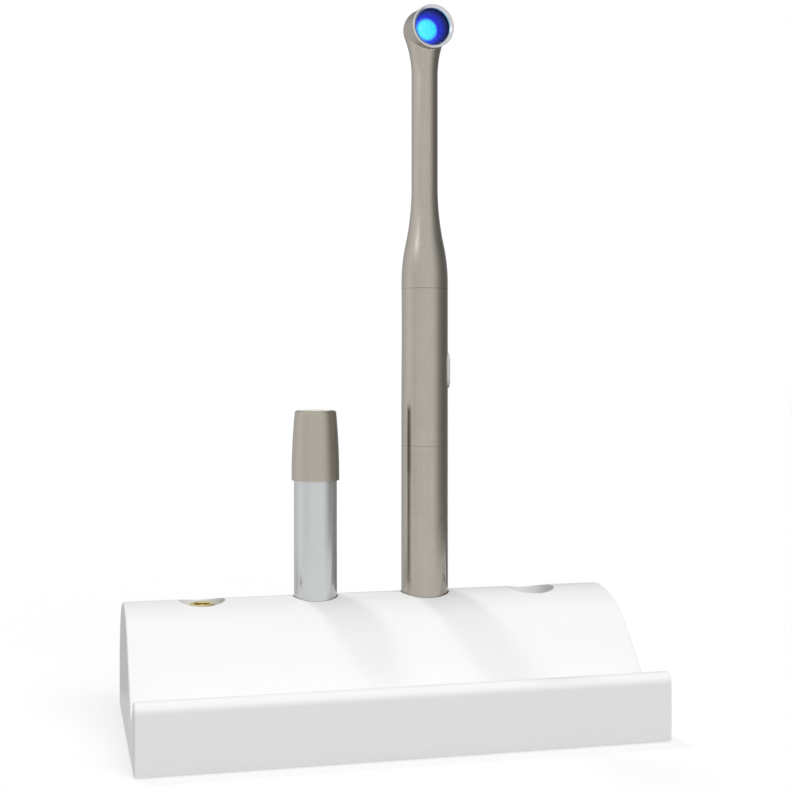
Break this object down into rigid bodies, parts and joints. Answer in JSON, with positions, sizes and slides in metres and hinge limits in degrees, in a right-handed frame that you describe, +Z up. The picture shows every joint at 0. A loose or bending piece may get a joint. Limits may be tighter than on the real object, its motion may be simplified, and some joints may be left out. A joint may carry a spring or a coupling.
{
  "type": "dental curing light",
  "caption": "Slim pen-shaped dental curing light with a swivelling lamp head, standing in a low wedge-shaped charging base beside a spare battery pack.",
  "frame": {"origin": "on the table, under the middle of the base's outline, level with the underside of the feet", "axes": "+Z up along the handpiece, +X to the right along the base and its row of stations, +Y to the rear, with the lip of the base and the lamp's light at the front, -Y"},
  "size_m": [0.1672, 0.0864, 0.2413],
  "materials": {
    "base_plastic": "white moulded plastic, softly glossy",
    "cup_plastic": "white moulded plastic, satin",
    "cover_plastic": "pale grey moulded plastic, fine grain",
    "foot_rubber": "soft dark rubber",
    "screw_steel": "zinc-plated steel",
    "plate_steel": "plain rolled steel",
    "circuit_board": "green laminate with a thin lacquer",
    "chip_black": "black moulded components",
    "inlet_black": "black plastic with a bright centre pin",
    "contact_gold": "gold-plated brass, polished",
    "insulator_brown": "brown moulded insulator",
    "insulator_black": "black moulded insulator",
    "can_steel": "pearl silver lacquer over drawn metal",
    "cap_taupe": "warm taupe metallic lacquer",
    "cell_sleeve": "plain blue shrink sleeve",
    "body_taupe": "warm taupe metallic anodised finish",
    "inner_aluminium": "turned aluminium",
    "button_grey": "pale grey satin key",
    "led_board_navy": "dark blue lacquered board",
    "led_blue": "bright cyan-blue light source",
    "reflector_blue": "deep blue metallised cup",
    "lens_glass": "clear flat glass",
    "bezel_steel": "polished metal ring",
    "lead_insulation": "soft insulated wire"
  },
  "bodies": {
    "base": {"base_shell": "base_plastic", "base_cover": "cover_plastic", "rubber_feet": "foot_rubber", "cover_screws": "screw_steel", "ballast_plate": "plate_steel", "charging_board": "circuit_board", "board_parts": "chip_black", "power_inlet": "inlet_black", "battery_socket_1": "cup_plastic", "battery_socket_2": "cup_plastic", "socket_sleeves": "contact_gold", "socket_cores": "insulator_brown", "socket_pins": "contact_gold", "handpiece_well_1": "cup_plastic", "handpiece_well_2": "cup_plastic", "plunger_spring_1": "screw_steel", "plunger_spring_2": "screw_steel"},
    "dock_plunger_1": {"contact_plunger_1": "insulator_black", "plunger_pins_1": "contact_gold"},
    "dock_plunger_2": {"contact_plunger_2": "insulator_black", "plunger_pins_2": "contact_gold"},
    "main_pack": {"main_pack_can": "can_steel", "main_pack_cap": "cap_taupe", "main_pack_cell": "cell_sleeve", "main_pack_board": "circuit_board", "main_pack_plug": "insulator_black", "main_pack_plug_contacts": "contact_gold", "main_pack_tail_contacts": "contact_gold"},
    "handpiece": {"lower_tube": "body_taupe", "upper_tube": "body_taupe", "tube_coupler": "inner_aluminium", "post_sleeve": "contact_gold", "post_core": "insulator_brown", "post_pin": "contact_gold", "driver_board": "circuit_board", "driver_parts": "chip_black", "button_switch": "chip_black", "swivel_collar": "inner_aluminium", "swivel_jack": "insulator_black"},
    "button": {"button_cap": "button_grey"},
    "head": {"swivel_spigot": "inner_aluminium", "retaining_ring": "screw_steel", "swivel_seal": "foot_rubber", "swivel_plug": "insulator_black", "neck_shell": "body_taupe", "heat_sink": "inner_aluminium", "led_board": "led_board_navy", "led_emitter": "led_blue", "reflector": "reflector_blue", "lens": "lens_glass", "bezel_ring": "bezel_steel", "lamp_leads": "lead_insulation"},
    "spare_pack": {"spare_pack_can": "can_steel", "spare_pack_cap": "cap_taupe", "spare_pack_cell": "cell_sleeve", "spare_pack_board": "circuit_board", "spare_pack_plug": "insulator_black", "spare_pack_plug_contacts": "contact_gold", "spare_pack_tail_contacts": "contact_gold"}
  },
  "joints": [
    {"name": "pack_lift", "type": "slide", "parent": "base", "child": "main_pack", "axis": [0, 0, 1], "range_m": [0, 0.03]},
    {"name": "handpiece_lift", "type": "slide", "parent": "main_pack", "child": "handpiece", "axis": [0, 0, 1], "range_m": [0, 0.062]},
    {"name": "button_press", "type": "slide", "parent": "handpiece", "child": "button", "axis": [-1, 0, 0], "range_m": [0, 0.0005], "stiffness_N_per_m": 1000, "springref_m": -0.0005},
    {"name": "head_swivel", "type": "hinge", "parent": "handpiece", "child": "head", "pos_m": [0.0192, 0.0188, 0.1446], "axis": [0, 0, 1], "continuous": true},
    {"name": "spare_pack_lift", "type": "slide", "parent": "base", "child": "spare_pack", "axis": [0, 0, 1], "range_m": [0, 0.04]},
    {"name": "dock_contact_press_1", "type": "slide", "parent": "base", "child": "dock_plunger_1", "axis": [0, 0, 1], "range_m": [-0.0003, 0], "stiffness_N_per_m": 300, "springref_m": 0.001, "deforming": ["plunger_spring_1"]},
    {"name": "dock_contact_press_2", "type": "slide", "parent": "base", "child": "dock_plunger_2", "axis": [0, 0, 1], "range_m": [-0.00135, 0], "stiffness_N_per_m": 300, "springref_m": 0.001, "deforming": ["plunger_spring_2"]}
  ]
}
